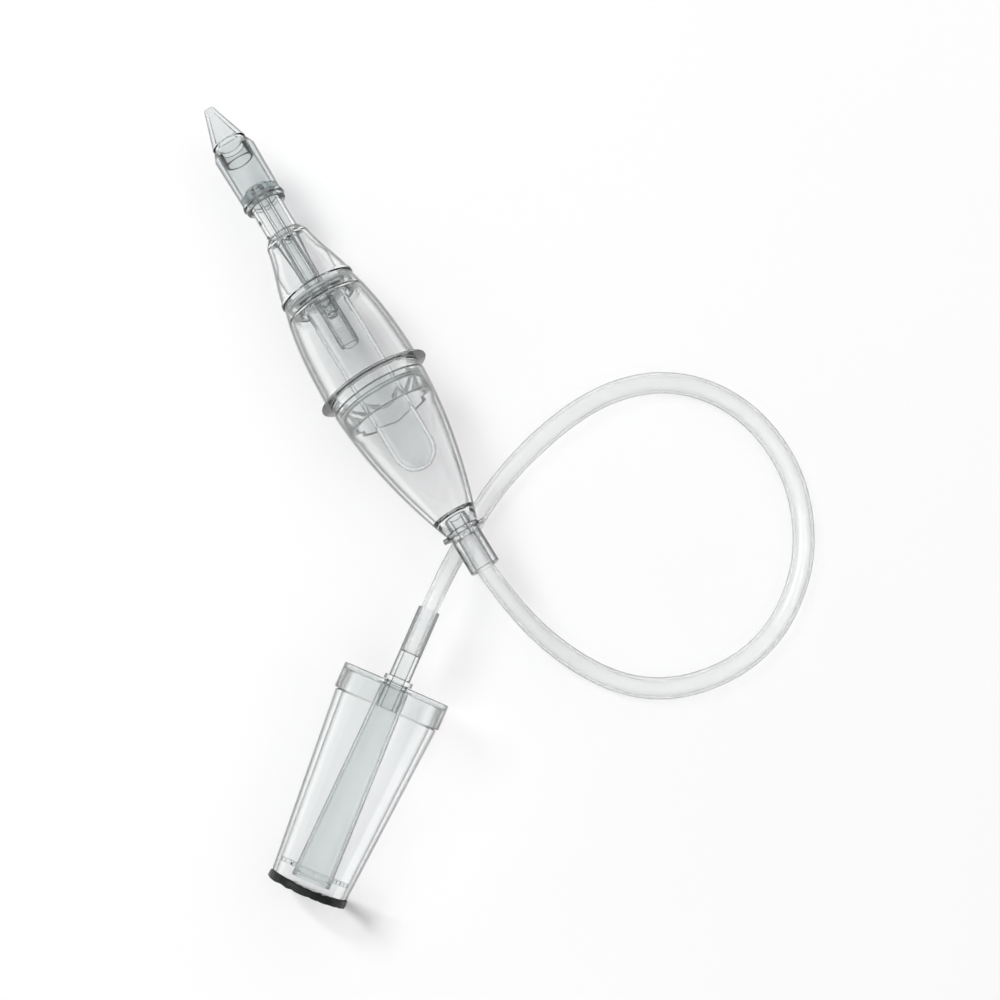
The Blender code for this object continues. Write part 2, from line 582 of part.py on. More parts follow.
def smooth_curve(points, spacing):
    """Evenly spaced points on the natural cubic spline through the given ones.

    The first and last two of the given points bound the straight ends, which stay whole.
    """
    knots = np.array(points, dtype=float)
    chords = np.linalg.norm(np.diff(knots, axis=0), axis=1)
    at = np.concatenate([[0.0], np.cumsum(chords)])
    count = len(knots)
    system = np.eye(count)
    rates = np.zeros((count, 3))
    for i in range(1, count - 1):
        before, after = chords[i - 1], chords[i]
        system[i, i - 1:i + 2] = before, 2 * (before + after), after
        rates[i] = 6 * ((knots[i + 1] - knots[i]) / after - (knots[i] - knots[i - 1]) / before)
    bends = np.linalg.solve(system, rates)
    free = at[-2] - at[1]
    samples = at[1] + np.linspace(0.0, free, math.ceil(free / spacing) + 1)
    path = [knots[0]]
    for s in samples:
        i = min(int(np.searchsorted(at, s, side="right")) - 1, count - 2)
        chord, left, right = chords[i], at[i + 1] - s, s - at[i]
        path.append((bends[i] * left**3 + bends[i + 1] * right**3) / (6 * chord)
                    + (knots[i] / chord - bends[i] * chord / 6) * left
                    + (knots[i + 1] / chord - bends[i + 1] * chord / 6) * right)
    path.append(knots[-1])
    return path


def hose_radius(from_tail, from_stem):
    """Radius at the given distances from the hose's two ends."""
    squeezed = HOSE_TAIL_RADIUS if from_tail < from_stem else HOSE_STEM_RADIUS
    share = min(from_tail, from_stem, HOSE_SQUEEZE) / HOSE_SQUEEZE
    return squeezed + (HOSE_RADIUS - squeezed) * share


def make_hose():
    """One soft hose, from the tail socket to the adapter's stem."""
    tail_points = [(TAIL_X + along, 0.0, AXIS_HEIGHT) for along in (-HOSE_INSERT, HOSE_STRAIGHT)]
    frame = adapter_frame()
    stem_points = [frame @ Vector(((along - STEM_LENGTH) * MM, 0.0, 0.0)) / MM
                   for along in (-HOSE_STRAIGHT, STEM_HOSE_DEPTH)]
    path = smooth_curve([*tail_points, *HOSE_ROUTE, *map(tuple, stem_points)], HOSE_SPACING)
    runs = np.concatenate([[0.0], np.cumsum(np.linalg.norm(np.diff(path, axis=0), axis=1))])
    squeezed_ends = HOSE_INSERT, STEM_HOSE_DEPTH
    curve = bpy.data.curves.new("hose", "CURVE")
    curve.dimensions = "3D"
    curve.bevel_depth = HOSE_RADIUS * MM
    curve.bevel_resolution = 3
    curve.use_fill_caps = True
    spline = curve.splines.new("POLY")
    spline.points.add(len(path) - 1)
    for point, place, run in zip(spline.points, path, runs):
        from_tail = max(run - squeezed_ends[0], 0.0)
        from_stem = max(runs[-1] - run - squeezed_ends[1], 0.0)
        point.co = (*(place * MM), 1.0)
        point.radius = hose_radius(from_tail, from_stem) / HOSE_RADIUS
    curve.materials.append(plastic("soft_hose", HOSE_WHITE, 0.3, 0.7))
    hose = bpy.data.objects.new("hose", curve)
    bpy.context.collection.objects.link(hose)


def main():
    clear_scene()
    plastic("guide", CUTTER_GREY, 0.5)
    head = empty("head_axis", Vector((TAIL_X - tail, 0.0, AXIS_HEIGHT)) * MM)
    front = empty("front_slide", (0, 0, 0), head)
    neck = empty("neck_slide", (0, 0, 0), front)
    cup = empty("cup_slide", (0, 0, 0), neck)
    nozzle = empty("nozzle_slide", (0, 0, 0), neck)
    make_nozzle(nozzle)
    make_neck(neck)
    make_cup(cup)
    make_middle_shell(front)
    make_rear(head)
    make_adapter()
    make_hose()


main()
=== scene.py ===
"""Looks of a clear nasal aspirator: turned head, soft hose and vacuum adapter on a pale surface.

Outlines are (along, radius) points in millimetres. Those of the head run along X about the
head's axis, and those of the adapter run from its lid about the adapter's own axis.
"""
import math

import bpy
import numpy as np
from mathutils import Matrix, Vector


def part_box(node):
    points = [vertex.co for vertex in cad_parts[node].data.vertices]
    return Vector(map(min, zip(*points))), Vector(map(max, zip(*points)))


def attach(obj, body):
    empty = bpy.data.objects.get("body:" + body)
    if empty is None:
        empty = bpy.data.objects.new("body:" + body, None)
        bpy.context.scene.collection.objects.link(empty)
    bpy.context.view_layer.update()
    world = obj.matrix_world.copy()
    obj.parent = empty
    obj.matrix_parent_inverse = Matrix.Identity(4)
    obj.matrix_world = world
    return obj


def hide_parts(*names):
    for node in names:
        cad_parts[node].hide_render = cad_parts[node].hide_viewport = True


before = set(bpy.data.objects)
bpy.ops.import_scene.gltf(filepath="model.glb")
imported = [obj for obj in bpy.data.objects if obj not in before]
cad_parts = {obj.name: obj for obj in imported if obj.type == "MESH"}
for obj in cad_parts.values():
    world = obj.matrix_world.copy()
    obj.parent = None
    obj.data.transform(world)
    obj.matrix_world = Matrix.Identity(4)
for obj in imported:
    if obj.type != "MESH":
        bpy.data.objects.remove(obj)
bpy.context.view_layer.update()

MM = 0.001
GAP = 0.3
STEPS = 96                      # around a large piece
SMALL_STEPS = 64                # around a tube
CURVE_STEPS = 22                # along a curved contour
DOME_STEPS = 14                 # along a quarter of a round end
CORNER_STEPS = 4                # round a moulded corner
SOFTENED_TURN = math.radians(20.0)
SMOOTH_ANGLE = math.radians(35.0)
HOSE_SMOOTH_ANGLE = math.radians(50.0)
SAME_PLACE = 0.0005 * MM

# ---------------------------------------------------------------- the view
VIEW_TARGET = Vector((0.0741, 0.0159, 0.0150))
VIEW_AZIMUTH = math.radians(59.15)
VIEW_ELEVATION = math.radians(78.0)
VIEW_DISTANCE = 0.6082
VIEW_LENS = 67.18


def deselect():
    bpy.ops.object.select_all(action="DESELECT")


def make_camera():
    back = Vector((math.sin(VIEW_AZIMUTH) * math.cos(VIEW_ELEVATION),
                   -math.cos(VIEW_AZIMUTH) * math.cos(VIEW_ELEVATION),
                   math.sin(VIEW_ELEVATION)))
    turn = (-back).to_track_quat("-Z", "Y").to_euler()
    bpy.ops.object.camera_add(location=VIEW_TARGET + back * VIEW_DISTANCE, rotation=turn)
    camera = bpy.context.object
    camera.name = "camera"
    camera.data.lens = VIEW_LENS
    camera.data.sensor_width = 36.0
    camera.data.clip_start = 0.01
    camera.data.clip_end = 50.0
    bpy.context.scene.camera = camera


# ------------------------------------------------------- finishes, one for each plastic
def node_set(material):
    material.use_nodes = True
    tree = material.node_tree
    return tree, tree.nodes["Principled BSDF"]


def noise(tree, scale, detail=3.0, stretch=(1.0, 1.0, 1.0)):
    """Noise on the piece's own place, in cells of about 1/scale metres."""
    place = tree.nodes.new("ShaderNodeTexCoord")
    mapping = tree.nodes.new("ShaderNodeMapping")
    mapping.inputs["Scale"].default_value = stretch
    texture = tree.nodes.new("ShaderNodeTexNoise")
    texture.inputs["Scale"].default_value = scale
    texture.inputs["Detail"].default_value = detail
    tree.links.new(place.outputs["Object"], mapping.inputs["Vector"])
    tree.links.new(mapping.outputs["Vector"], texture.inputs["Vector"])
    return texture.outputs["Fac"]


def spread(tree, value, low, high):
    """The middle of a noise, spread from low to high."""
    node = tree.nodes.new("ShaderNodeMapRange")
    node.inputs["From Min"].default_value = 0.3
    node.inputs["From Max"].default_value = 0.7
    node.inputs["To Min"].default_value = low
    node.inputs["To Max"].default_value = high
    tree.links.new(value, node.inputs["Value"])
    return node.outputs["Result"]


def blend_colours(tree, factor, first, second):
    mix = tree.nodes.new("ShaderNodeMix")
    mix.data_type = "RGBA"
    mix.inputs["A"].default_value = (*first, 1.0)
    mix.inputs["B"].default_value = (*second, 1.0)
    tree.links.new(factor, mix.inputs["Factor"])
    return mix.outputs["Result"]


def uneven(tree, shader, layers):
    """Bumps of several sizes, each a (height, strength, distance) layer."""
    normal = None
    for height, strength, distance in layers:
        bump = tree.nodes.new("ShaderNodeBump")
        bump.inputs["Strength"].default_value = strength
        bump.inputs["Distance"].default_value = distance
        tree.links.new(height, bump.inputs["Height"])
        if normal is not None:
            tree.links.new(normal, bump.inputs["Normal"])
        normal = bump.outputs["Normal"]
    tree.links.new(normal, shader.inputs["Normal"])


def let_lamps_through(tree, shader, shade):
    """Light from the lamps passes the clear wall, a little weaker at each face."""
    path = tree.nodes.new("ShaderNodeLightPath")
    through = tree.nodes.new("ShaderNodeBsdfTransparent")
    through.inputs["Color"].default_value = (*shade, 1.0)
    mix = tree.nodes.new("ShaderNodeMixShader")
    out = tree.nodes["Material Output"]
    tree.links.new(path.outputs["Is Shadow Ray"], mix.inputs["Fac"])
    tree.links.new(shader.outputs["BSDF"], mix.inputs[1])
    tree.links.new(through.outputs["BSDF"], mix.inputs[2])
    tree.links.new(mix.outputs["Shader"], out.inputs["Surface"])


def soak(tree, colour, density):
    """Colour that deepens with the length of the way through the plastic."""
    volume = tree.nodes.new("ShaderNodeVolumeAbsorption")
    volume.inputs["Color"].default_value = (*colour, 1.0)
    volume.inputs["Density"].default_value = density
    tree.links.new(volume.outputs["Volume"], tree.nodes["Material Output"].inputs["Volume"])


def painted_edge_shade(tree, clear, edge_shade_colour, start, full):
    """Painted shade: the clear colour, darkened from start to full towards a dark edge colour where a
    wall is seen edge-on, as painted dark outlines.
    """
    facing = tree.nodes.new("ShaderNodeLayerWeight")
    facing.inputs["Blend"].default_value = 0.5
    ramp = tree.nodes.new("ShaderNodeMapRange")
    ramp.interpolation_type = "SMOOTHSTEP"
    ramp.inputs["From Min"].default_value = start
    ramp.inputs["From Max"].default_value = full
    tree.links.new(facing.outputs["Facing"], ramp.inputs["Value"])
    mix = tree.nodes.new("ShaderNodeMix")
    mix.data_type = "RGBA"
    mix.inputs["B"].default_value = (*edge_shade_colour, 1.0)
    tree.links.new(ramp.outputs["Result"], mix.inputs["Factor"])
    tree.links.new(clear, mix.inputs["A"])
    return mix.outputs["Result"]


def clear_styrene(name, density, soaked=(0.885, 0.900, 0.902), through=(0.928, 0.921, 0.924),
                  edge_shade_colour=(0.035, 0.040, 0.040), start=0.48, full=0.72):
    """Hard clear plastic, faintly green, with flow marks, a fine orange peel and painted shade darkening
    its colour where a wall is seen edge-on.
    """
    material = bpy.data.materials.new(name)
    tree, shader = node_set(material)
    clouds = noise(tree, 90.0)
    tint = blend_colours(tree, spread(tree, clouds, 0.0, 1.0), (0.995, 1.0, 1.0),
                         (0.975, 0.990, 0.988))
    # painted shade: the base colour darkens towards the edge colour where the wall is seen edge-on, as
    # painted dark outlines
    tree.links.new(painted_edge_shade(tree, tint, edge_shade_colour, start, full), shader.inputs["Base Color"])
    tree.links.new(spread(tree, noise(tree, 240.0), 0.02, 0.06), shader.inputs["Roughness"])
    shader.inputs["IOR"].default_value = 1.55
    shader.inputs["Transmission Weight"].default_value = 1.0
    flow = noise(tree, 60.0, 2.0, (0.35, 1.0, 1.0))
    peel = noise(tree, 900.0, 1.0)
    uneven(tree, shader, [(flow, 0.08, 0.0006), (peel, 0.02, 0.0001)])
    soak(tree, soaked, density)
    let_lamps_through(tree, shader, through)
    return material


def painted_shade_wall(name):
    """Matt wall of a small hole, coloured nearly black as painted shade for the dark inside of the hole.
    """
    material = bpy.data.materials.new(name)
    tree, shader = node_set(material)
    grain = spread(tree, noise(tree, 2500.0), 0.0, 1.0)
    # painted shade: a near-black colour on the hole's wall, standing for the shade inside the vent
    tint = blend_colours(tree, grain, (0.02, 0.022, 0.022), (0.06, 0.065, 0.065))
    tree.links.new(tint, shader.inputs["Base Color"])
    tree.links.new(spread(tree, noise(tree, 3000.0), 0.5, 0.7), shader.inputs["Roughness"])
    uneven(tree, shader, [(noise(tree, 4000.0), 0.2, 0.00005)])
    return material


def milky_hose(name):
    """Soft hose: cloudy, with a slightly wavy, dull skin and painted shade darkening its colour where it
    is seen edge-on.
    """
    material = bpy.data.materials.new(name)
    tree, shader = node_set(material)
    clouds = spread(tree, noise(tree, 130.0, 4.0), 0.0, 1.0)
    tint = blend_colours(tree, clouds, (0.945, 0.950, 0.950), (0.915, 0.924, 0.925))
    # painted shade: the hose colour darkens towards grey where it is seen edge-on, as painted dark
    # outlines
    tree.links.new(painted_edge_shade(tree, tint, (0.16, 0.17, 0.17), 0.55, 0.90), shader.inputs["Base Color"])
    tree.links.new(spread(tree, noise(tree, 200.0), 0.20, 0.26), shader.inputs["Roughness"])
    shader.inputs["IOR"].default_value = 1.38
    shader.inputs["Transmission Weight"].default_value = 0.85
    uneven(tree, shader, [(noise(tree, 60.0, 1.0), 0.03, 0.0004)])
    let_lamps_through(tree, shader, (0.93, 0.93, 0.93))
    return material


def soft_seal(name):
    material = bpy.data.materials.new(name)
    tree, shader = node_set(material)
    clouds = spread(tree, noise(tree, 500.0), 0.0, 1.0)
    tint = blend_colours(tree, clouds, (0.62, 0.66, 0.65), (0.50, 0.54, 0.53))
    tree.links.new(tint, shader.inputs["Base Color"])
    tree.links.new(spread(tree, noise(tree, 900.0), 0.35, 0.5), shader.inputs["Roughness"])
    shader.inputs["IOR"].default_value = 1.41
    shader.inputs["Transmission Weight"].default_value = 0.5
    uneven(tree, shader, [(noise(tree, 1200.0, 2.0), 0.15, 0.0001)])
    let_lamps_through(tree, shader, (0.85, 0.85, 0.85))
    return material


def dark_rubber(name):
    material = bpy.data.materials.new(name)
    tree, shader = node_set(material)
    dust = spread(tree, noise(tree, 300.0, 5.0), 0.0, 1.0)
    tint = blend_colours(tree, dust, (0.004, 0.005, 0.005), (0.025, 0.027, 0.027))
    tree.links.new(tint, shader.inputs["Base Color"])
    tree.links.new(spread(tree, noise(tree, 700.0), 0.3, 0.5), shader.inputs["Roughness"])
    shader.inputs["Specular IOR Level"].default_value = 0.25
    uneven(tree, shader, [(noise(tree, 1500.0, 3.0), 0.35, 0.0002)])
    return material


# ------------------------------------------------------------- modelling by hand
def fillet(outline, radius, closed):
    """The outline with its corners rounded, each as far as its sides allow."""
    points = [Vector(point) for point in outline]
    count = len(points)
    rounded = []
    for i, corner in enumerate(points):
        if not closed and i in (0, count - 1):
            rounded.append(corner)
            continue
        before, after = points[i - 1] - corner, points[(i + 1) % count] - corner
        turn = math.pi - before.angle(after)
        if turn < SOFTENED_TURN:
            rounded.append(corner)
            continue
        reach = min(radius * math.tan(turn / 2), 0.45 * before.length, 0.45 * after.length)
        start = corner + before.normalized() * reach
        end = corner + after.normalized() * reach
        for step in range(CORNER_STEPS + 1):
            t = step / CORNER_STEPS
            rounded.append(start * (1 - t) ** 2 + corner * (2 * t * (1 - t)) + end * t * t)
    return rounded


def lathe(name, outline, base, steps=STEPS, corner=0.2, closed=True):
    """Turn an outline about the X axis of a base; an open outline starts and ends on the axis."""
    profile = fillet(outline, corner, closed)
    if closed:
        profile.append(profile[0])
    points = [base @ Vector((along * MM, 0.0, radius * MM)) for along, radius in profile]
    deselect()
    bpy.ops.mesh.primitive_plane_add(size=MM, location=points[0])
    piece = bpy.context.object
    piece.name = piece.data.name = name
    bpy.ops.object.mode_set(mode="EDIT")
    bpy.ops.mesh.select_all(action="SELECT")
    bpy.ops.mesh.merge(type="CENTER")
    for here, there in zip(points, points[1:]):
        bpy.ops.mesh.extrude_region_move(TRANSFORM_OT_translate={"value": there - here})
    bpy.ops.mesh.select_all(action="SELECT")
    bpy.ops.mesh.spin(steps=steps, angle=2 * math.pi, center=base.translation,
                      axis=base.to_3x3() @ Vector((1.0, 0.0, 0.0)))
    bpy.ops.mesh.select_all(action="SELECT")
    bpy.ops.mesh.remove_doubles(threshold=SAME_PLACE)
    bpy.ops.mesh.normals_make_consistent(inside=False)
    bpy.ops.object.mode_set(mode="OBJECT")
    bpy.ops.object.transform_apply(location=True, rotation=True, scale=True)
    bpy.ops.object.shade_smooth_by_angle(angle=SMOOTH_ANGLE)
    return piece


def cut_or_join(piece, tool, operation, wall=None):
    """Cut a piece with a tool, or join the tool to it; the cut may get a finish of its own."""
    if wall is not None:
        tool.data.materials.append(wall)
    deselect()
    piece.select_set(True)
    bpy.context.view_layer.objects.active = piece
    modifier = piece.modifiers.new("tool", "BOOLEAN")
    modifier.operation = operation
    modifier.solver = "EXACT"
    modifier.object = tool
    if wall is not None:
        modifier.material_mode = "TRANSFER"
    bpy.ops.object.modifier_apply(modifier=modifier.name)
    bpy.data.objects.remove(tool, do_unlink=True)
    bpy.ops.object.shade_smooth_by_angle(angle=SMOOTH_ANGLE)


def drill(at, direction, radius, length):
    turn = Vector((0, 0, 1)).rotation_difference(Vector(direction)).to_euler()
    deselect()
    bpy.ops.mesh.primitive_cylinder_add(vertices=32, radius=radius * MM, depth=length * MM,
                                        location=at, rotation=turn)
    return bpy.context.object


def soft_block(at, size, turn=(0.0, 0.0, 0.0), corner=0.6):
    """A block with rounded edges, as a cutter or a lug."""
    deselect()
    bpy.ops.mesh.primitive_cube_add(size=1.0, location=at, rotation=turn)
    block = bpy.context.object
    block.scale = Vector(size) * MM
    bpy.ops.object.transform_apply(location=False, rotation=False, scale=True)
    bpy.ops.object.mode_set(mode="EDIT")
    bpy.ops.mesh.select_all(action="SELECT")
    bpy.ops.mesh.bevel(offset=corner * MM, segments=4, affect="EDGES", offset_type="OFFSET")
    bpy.ops.object.mode_set(mode="OBJECT")
    bpy.ops.object.transform_apply(location=True, rotation=True, scale=True)
    return block


def hand_over(piece, body, node, material):
    """Give a piece its finish, its body and the node it stands for."""
    if not piece.data.materials:
        piece.data.materials.append(material)
    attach(piece, body)
    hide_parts(node)
    return piece


def span(node):
    """Front, back and radius of a turned node of the head, in millimetres."""
    low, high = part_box(node)
    return low[0] / MM, high[0] / MM, (high[2] - low[2]) / (2 * MM)


def contour(start, end, slopes, steps=CURVE_STEPS):
    """Points of a smooth contour between two points, with a slope at each end."""
    length = end[0] - start[0]
    points = []
    for step in range(steps + 1):
        t = step / steps
        radius = (start[1] * (2 * t**3 - 3 * t**2 + 1) + slopes[0] * length * (t**3 - 2 * t**2 + t)
                  + end[1] * (3 * t**2 - 2 * t**3) + slopes[1] * length * (t**3 - t**2))
        points.append((start[0] + t * length, radius))
    return points


def dome(base, radius, depth, steps=DOME_STEPS):
    """Quarter ellipse from a side wall to the axis."""
    return [(base + depth * math.sin(step / steps * math.pi / 2),
             radius * math.cos(step / steps * math.pi / 2) if step < steps else 0.0)
            for step in range(steps + 1)]


# ------------------------------------------------------------------- the hose
HOSE_ROUTE = [
    (0.0985, 0.0006, 0.0186), (0.1070, 0.0020, 0.0156), (0.1150, 0.0040, 0.0119),
    (0.1230, 0.0069, 0.0083), (0.1315, 0.0110, 0.0052), (0.1405, 0.0166, 0.0038),
    (0.1486, 0.0242, 0.0036), (0.1548, 0.0343, 0.0036), (0.1582, 0.0465, 0.0036),
    (0.1586, 0.0595, 0.0036), (0.1554, 0.0720, 0.0036), (0.1489, 0.0833, 0.0036),
    (0.1399, 0.0929, 0.0036), (0.1287, 0.1000, 0.0036), (0.1164, 0.1044, 0.0036),
    (0.1036, 0.1056, 0.0036), (0.0910, 0.1038, 0.0036), (0.0796, 0.0989, 0.0036),
    (0.0702, 0.0912, 0.0036), (0.0636, 0.0814, 0.0036), (0.0600, 0.0702, 0.0036),
    (0.0590, 0.0582, 0.0036), (0.0601, 0.0462, 0.0036), (0.0625, 0.0346, 0.0036),
    (0.0656, 0.0242, 0.0036), (0.0693, 0.0149, 0.0036), (0.0734, 0.0072, 0.0041),
    (0.0768, 0.0020, 0.0059), (0.0797, -0.0021, 0.0090), (0.0826, -0.0062, 0.0131),
    (0.0855, -0.0102, 0.0169), (0.0885, -0.0143, 0.0194),
]
HOSE_RADIUS = 3.6
HOSE_TAIL_RADIUS = 3.0
HOSE_STEM_RADIUS = 2.75
HOSE_WALL = 1.1
HOSE_SQUEEZE = 75.0
HOSE_INSERT = 11.2
HOSE_STRAIGHT = 1.5
HOSE_SPACING = 1.6
WRINKLE_DEPTH = 0.16
WRINKLE_PITCH = 2.3

# Adapter, lying on its side with its lid's skirt and its end ring on the surface
STEM_MOUTH = (94.3, -22.4)
ADAPTER_HEADING = math.radians(-54.3)
STEM_LENGTH = 25.6
STEM_HOSE_DEPTH = 15.0
STEM_RADIUS = 3.6
LID_RADIUS = 17.9
LID_SKIRT = 8.4
RING_RADIUS = 13.0
RING_BACK = 70.6


def head_frame():
    low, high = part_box("middle_shell")
    return Matrix.Translation((0.0, 0.0, (low[2] + high[2]) / 2))


def adapter_frame():
    """Origin at the lid's face, X towards the narrow end."""
    tilt = math.atan((LID_RADIUS - RING_RADIUS) / (RING_BACK - LID_SKIRT))
    turn = Matrix.Rotation(ADAPTER_HEADING, 4, "Z") @ Matrix.Rotation(tilt, 4, "Y")
    lid_height = LID_RADIUS * math.cos(tilt) + LID_SKIRT * math.sin(tilt)
    along = turn @ Vector((1.0, 0.0, 0.0))
    mouth = Vector((*STEM_MOUTH, lid_height + STEM_LENGTH * math.sin(tilt)))
    return Matrix.Translation((mouth + along * STEM_LENGTH) * MM) @ turn


HEAD = head_frame()
ADAPTER = adapter_frame()
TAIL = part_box("outlet_socket")[1][0]


def smooth_line(points, spacing):
    """Evenly spaced points on the natural cubic spline through the given ones, with straight ends."""
    knots = np.array(points, dtype=float)
    chords = np.linalg.norm(np.diff(knots, axis=0), axis=1)
    at = np.concatenate([[0.0], np.cumsum(chords)])
    count = len(knots)
    system = np.eye(count)
    rates = np.zeros((count, 3))
    for i in range(1, count - 1):
        before, after = chords[i - 1], chords[i]
        system[i, i - 1:i + 2] = before, 2 * (before + after), after
        rates[i] = 6 * ((knots[i + 1] - knots[i]) / after - (knots[i] - knots[i - 1]) / before)
    bends = np.linalg.solve(system, rates)
    free = at[-2] - at[1]
    line = [knots[0] + (knots[1] - knots[0]) * t for t in np.linspace(0, 1, 9)[:-1]]
    for s in at[1] + np.linspace(0.0, free, math.ceil(free / spacing) + 1):
        i = min(int(np.searchsorted(at, s, side="right")) - 1, count - 2)
        chord, left, right = chords[i], at[i + 1] - s, s - at[i]
        line.append((bends[i] * left**3 + bends[i + 1] * right**3) / (6 * chord)
                    + (knots[i] / chord - bends[i] * chord / 6) * left
                    + (knots[i + 1] / chord - bends[i + 1] * chord / 6) * right)
    return line + [knots[-2] + (knots[-1] - knots[-2]) * t for t in np.linspace(0, 1, 33)[1:]]


def hose_radius(from_tail, from_stem):
    squeezed = HOSE_TAIL_RADIUS if from_tail < from_stem else HOSE_STEM_RADIUS
    share = max(0.0, min(from_tail, from_stem, HOSE_SQUEEZE)) / HOSE_SQUEEZE
    radius = squeezed + (HOSE_RADIUS - squeezed) * share
    if from_stem < 0.0:
        radius += WRINKLE_DEPTH * math.sin(2 * math.pi * from_stem / WRINKLE_PITCH)
    return radius


def make_hose(material):
    """One hollow hose from the tail socket to the adapter's stem."""
    axis_height = HEAD.translation.z
    tail_points = [(TAIL + along * MM, 0.0, axis_height) for along in (-HOSE_INSERT, HOSE_STRAIGHT)]
    stem_points = [tuple(ADAPTER @ Vector(((along - STEM_LENGTH) * MM, 0.0, 0.0)))
                   for along in (-HOSE_STRAIGHT, STEM_HOSE_DEPTH)]
    line = smooth_line([*tail_points, *HOSE_ROUTE, *stem_points], HOSE_SPACING * MM)
    runs = np.concatenate([[0.0], np.cumsum(np.linalg.norm(np.diff(line, axis=0), axis=1))]) / MM
    curve = bpy.data.curves.new("soft_hose_skin", "CURVE")
    curve.dimensions = "3D"
    curve.bevel_depth = HOSE_RADIUS * MM
    curve.bevel_resolution = 6
    spline = curve.splines.new("POLY")
    spline.points.add(len(line) - 1)
    for point, place, run in zip(spline.points, line, runs):
        point.co = (*place, 1.0)
        point.radius = hose_radius(run - HOSE_INSERT, runs[-1] - run - STEM_HOSE_DEPTH) / HOSE_RADIUS
    hose = bpy.data.objects.new("soft_hose_skin", curve)
    bpy.context.collection.objects.link(hose)
    deselect()
    hose.select_set(True)
    bpy.context.view_layer.objects.active = hose
    bpy.ops.object.convert(target="MESH")
    hose = bpy.context.object
    bpy.ops.object.mode_set(mode="EDIT")
    bpy.ops.mesh.select_all(action="SELECT")
    bpy.ops.mesh.remove_doubles(threshold=SAME_PLACE)
    bpy.ops.mesh.normals_make_consistent(inside=False)
    bpy.ops.object.mode_set(mode="OBJECT")
    wall = hose.modifiers.new("wall", "SOLIDIFY")
    wall.thickness = HOSE_WALL * MM
    wall.offset = -1.0
    bpy.ops.object.modifier_apply(modifier=wall.name)
    bpy.ops.object.shade_smooth_by_angle(angle=HOSE_SMOOTH_ANGLE)
    hand_over(hose, "rear", "hose", material)
    return hose, [tuple(map(float, place)) for place in line], float(runs[-1]) * MM


# ------------------------------------------------------------------- the head
TIP_LENGTH = 14.4
TIP_END_RADIUS = 1.8
TIP_BORE = 1.1
TIP_BORE_LENGTH = 2.9
TIP_WALL = 1.0
BARREL_BORE = 5.6
BARREL_WALL = 1.9
BARREL_BACK_RADIUS = 7.1
BARREL_CHAMFER = 0.9
BARREL_CHAMFER_LENGTH = 2.4
BEAD_HEIGHT = 0.5
BEAD_WIDTH = 0.8
BEAD_SLOPE = 0.5
BEAD_SETBACK = 2.4
PARTITION = 1.8
NOZZLE_TUBE_RADIUS = 2.0
NOZZLE_TUBE_BORE = 1.2
TUBE_FLANGE = 1.2
COLLAR_RADIUS = 5.5
COLLAR_BORE = 4.2
COLLAR_INSERT = 3.2
COLLAR_LENGTH = 12.0
NECK_LENGTH = 22.6
NECK_FRONT_RADIUS = 6.3
NECK_ROOT_RADIUS = 7.7
NECK_ROOT_LENGTH = 2.2
NECK_BACK_RADIUS = 12.9
NECK_SLOPES = (0.15, 0.18)
NECK_SPIGOT_RADIUS = 11.2
NECK_SPIGOT_BORE = 9.3
NECK_BORE_SLOPE = 2.0
SHOULDER_BEAD = 0.4
SHOULDER_THICKNESS = 1.0
VENT_RADIUS = 0.8
VENT_DEPTH = 5.0
COLLAR_VENTS = (4.6, 10.6)
NECK_VENT = 4.6
INLET_FLANGE_RADIUS = 5.1
INLET_FLANGE = 1.5
INLET_ROOT_RADIUS = 4.3
INLET_RADIUS = 3.3
INLET_BORE = 2.6
INLET_TAPER = 12.0
HOLDER_THICKNESS = 1.5
CUP_WALL = 1.1
CUP_TAPER = 0.4
CUP_WINDOW_START = 2.6
CUP_WINDOW_LENGTH = 5.6
CUP_WINDOW_WIDTH = 4.0
SHELL_WALL = 1.4
MIDDLE_FRONT_RADIUS = 12.8
MIDDLE_BACK_RADIUS = 17.2
MIDDLE_SLOPES = (0.30, 0.02)
LIP_THICKNESS = 1.2
LIP_EDGE = 0.45
BAND_LENGTH = 3.3
BAND_RADIUS = 16.5
SKIRT_LENGTH = 8.2
SKIRT_RADIUS = 14.9
SKIRT_WALL = 2.0
REAR_BORE_START = 1.0
REAR_FRONT_RADIUS = 16.8
REAR_BACK_RADIUS = 5.7
REAR_SLOPES = (-0.05, -0.36)
SEAL_SECTION = 0.5
SEAL_SETBACK = 2.5
SOCKET_SPIGOT_RADIUS = 4.0
SOCKET_SPIGOT_LENGTH = 5.2
SOCKET_FLANGE_RADIUS = 6.2
SOCKET_RADIUS = 5.1
AIR_BORE = 2.2
LUG_ROOT = 4.5
LUG_REACH = 7.4
LUG_WIDTH = 5.0
LUG_SETBACK = 0.1
LUG_THICKNESS = 1.3
SEAL_SIDES = 16


def make_tip(material):
    front, back, radius = span("nozzle_tip")
    shoulder = front + TIP_LENGTH
    spigot = BARREL_BORE - GAP
    tip = lathe("tip_moulding", [
        (front, TIP_BORE), (front, TIP_END_RADIUS), (shoulder, radius), (shoulder, spigot),
        (back, spigot), (back, spigot - TIP_WALL), (shoulder, spigot - TIP_WALL),
        (front + TIP_BORE_LENGTH, TIP_BORE)], HEAD, corner=0.35)
    hand_over(tip, "nozzle", "nozzle_tip", material)


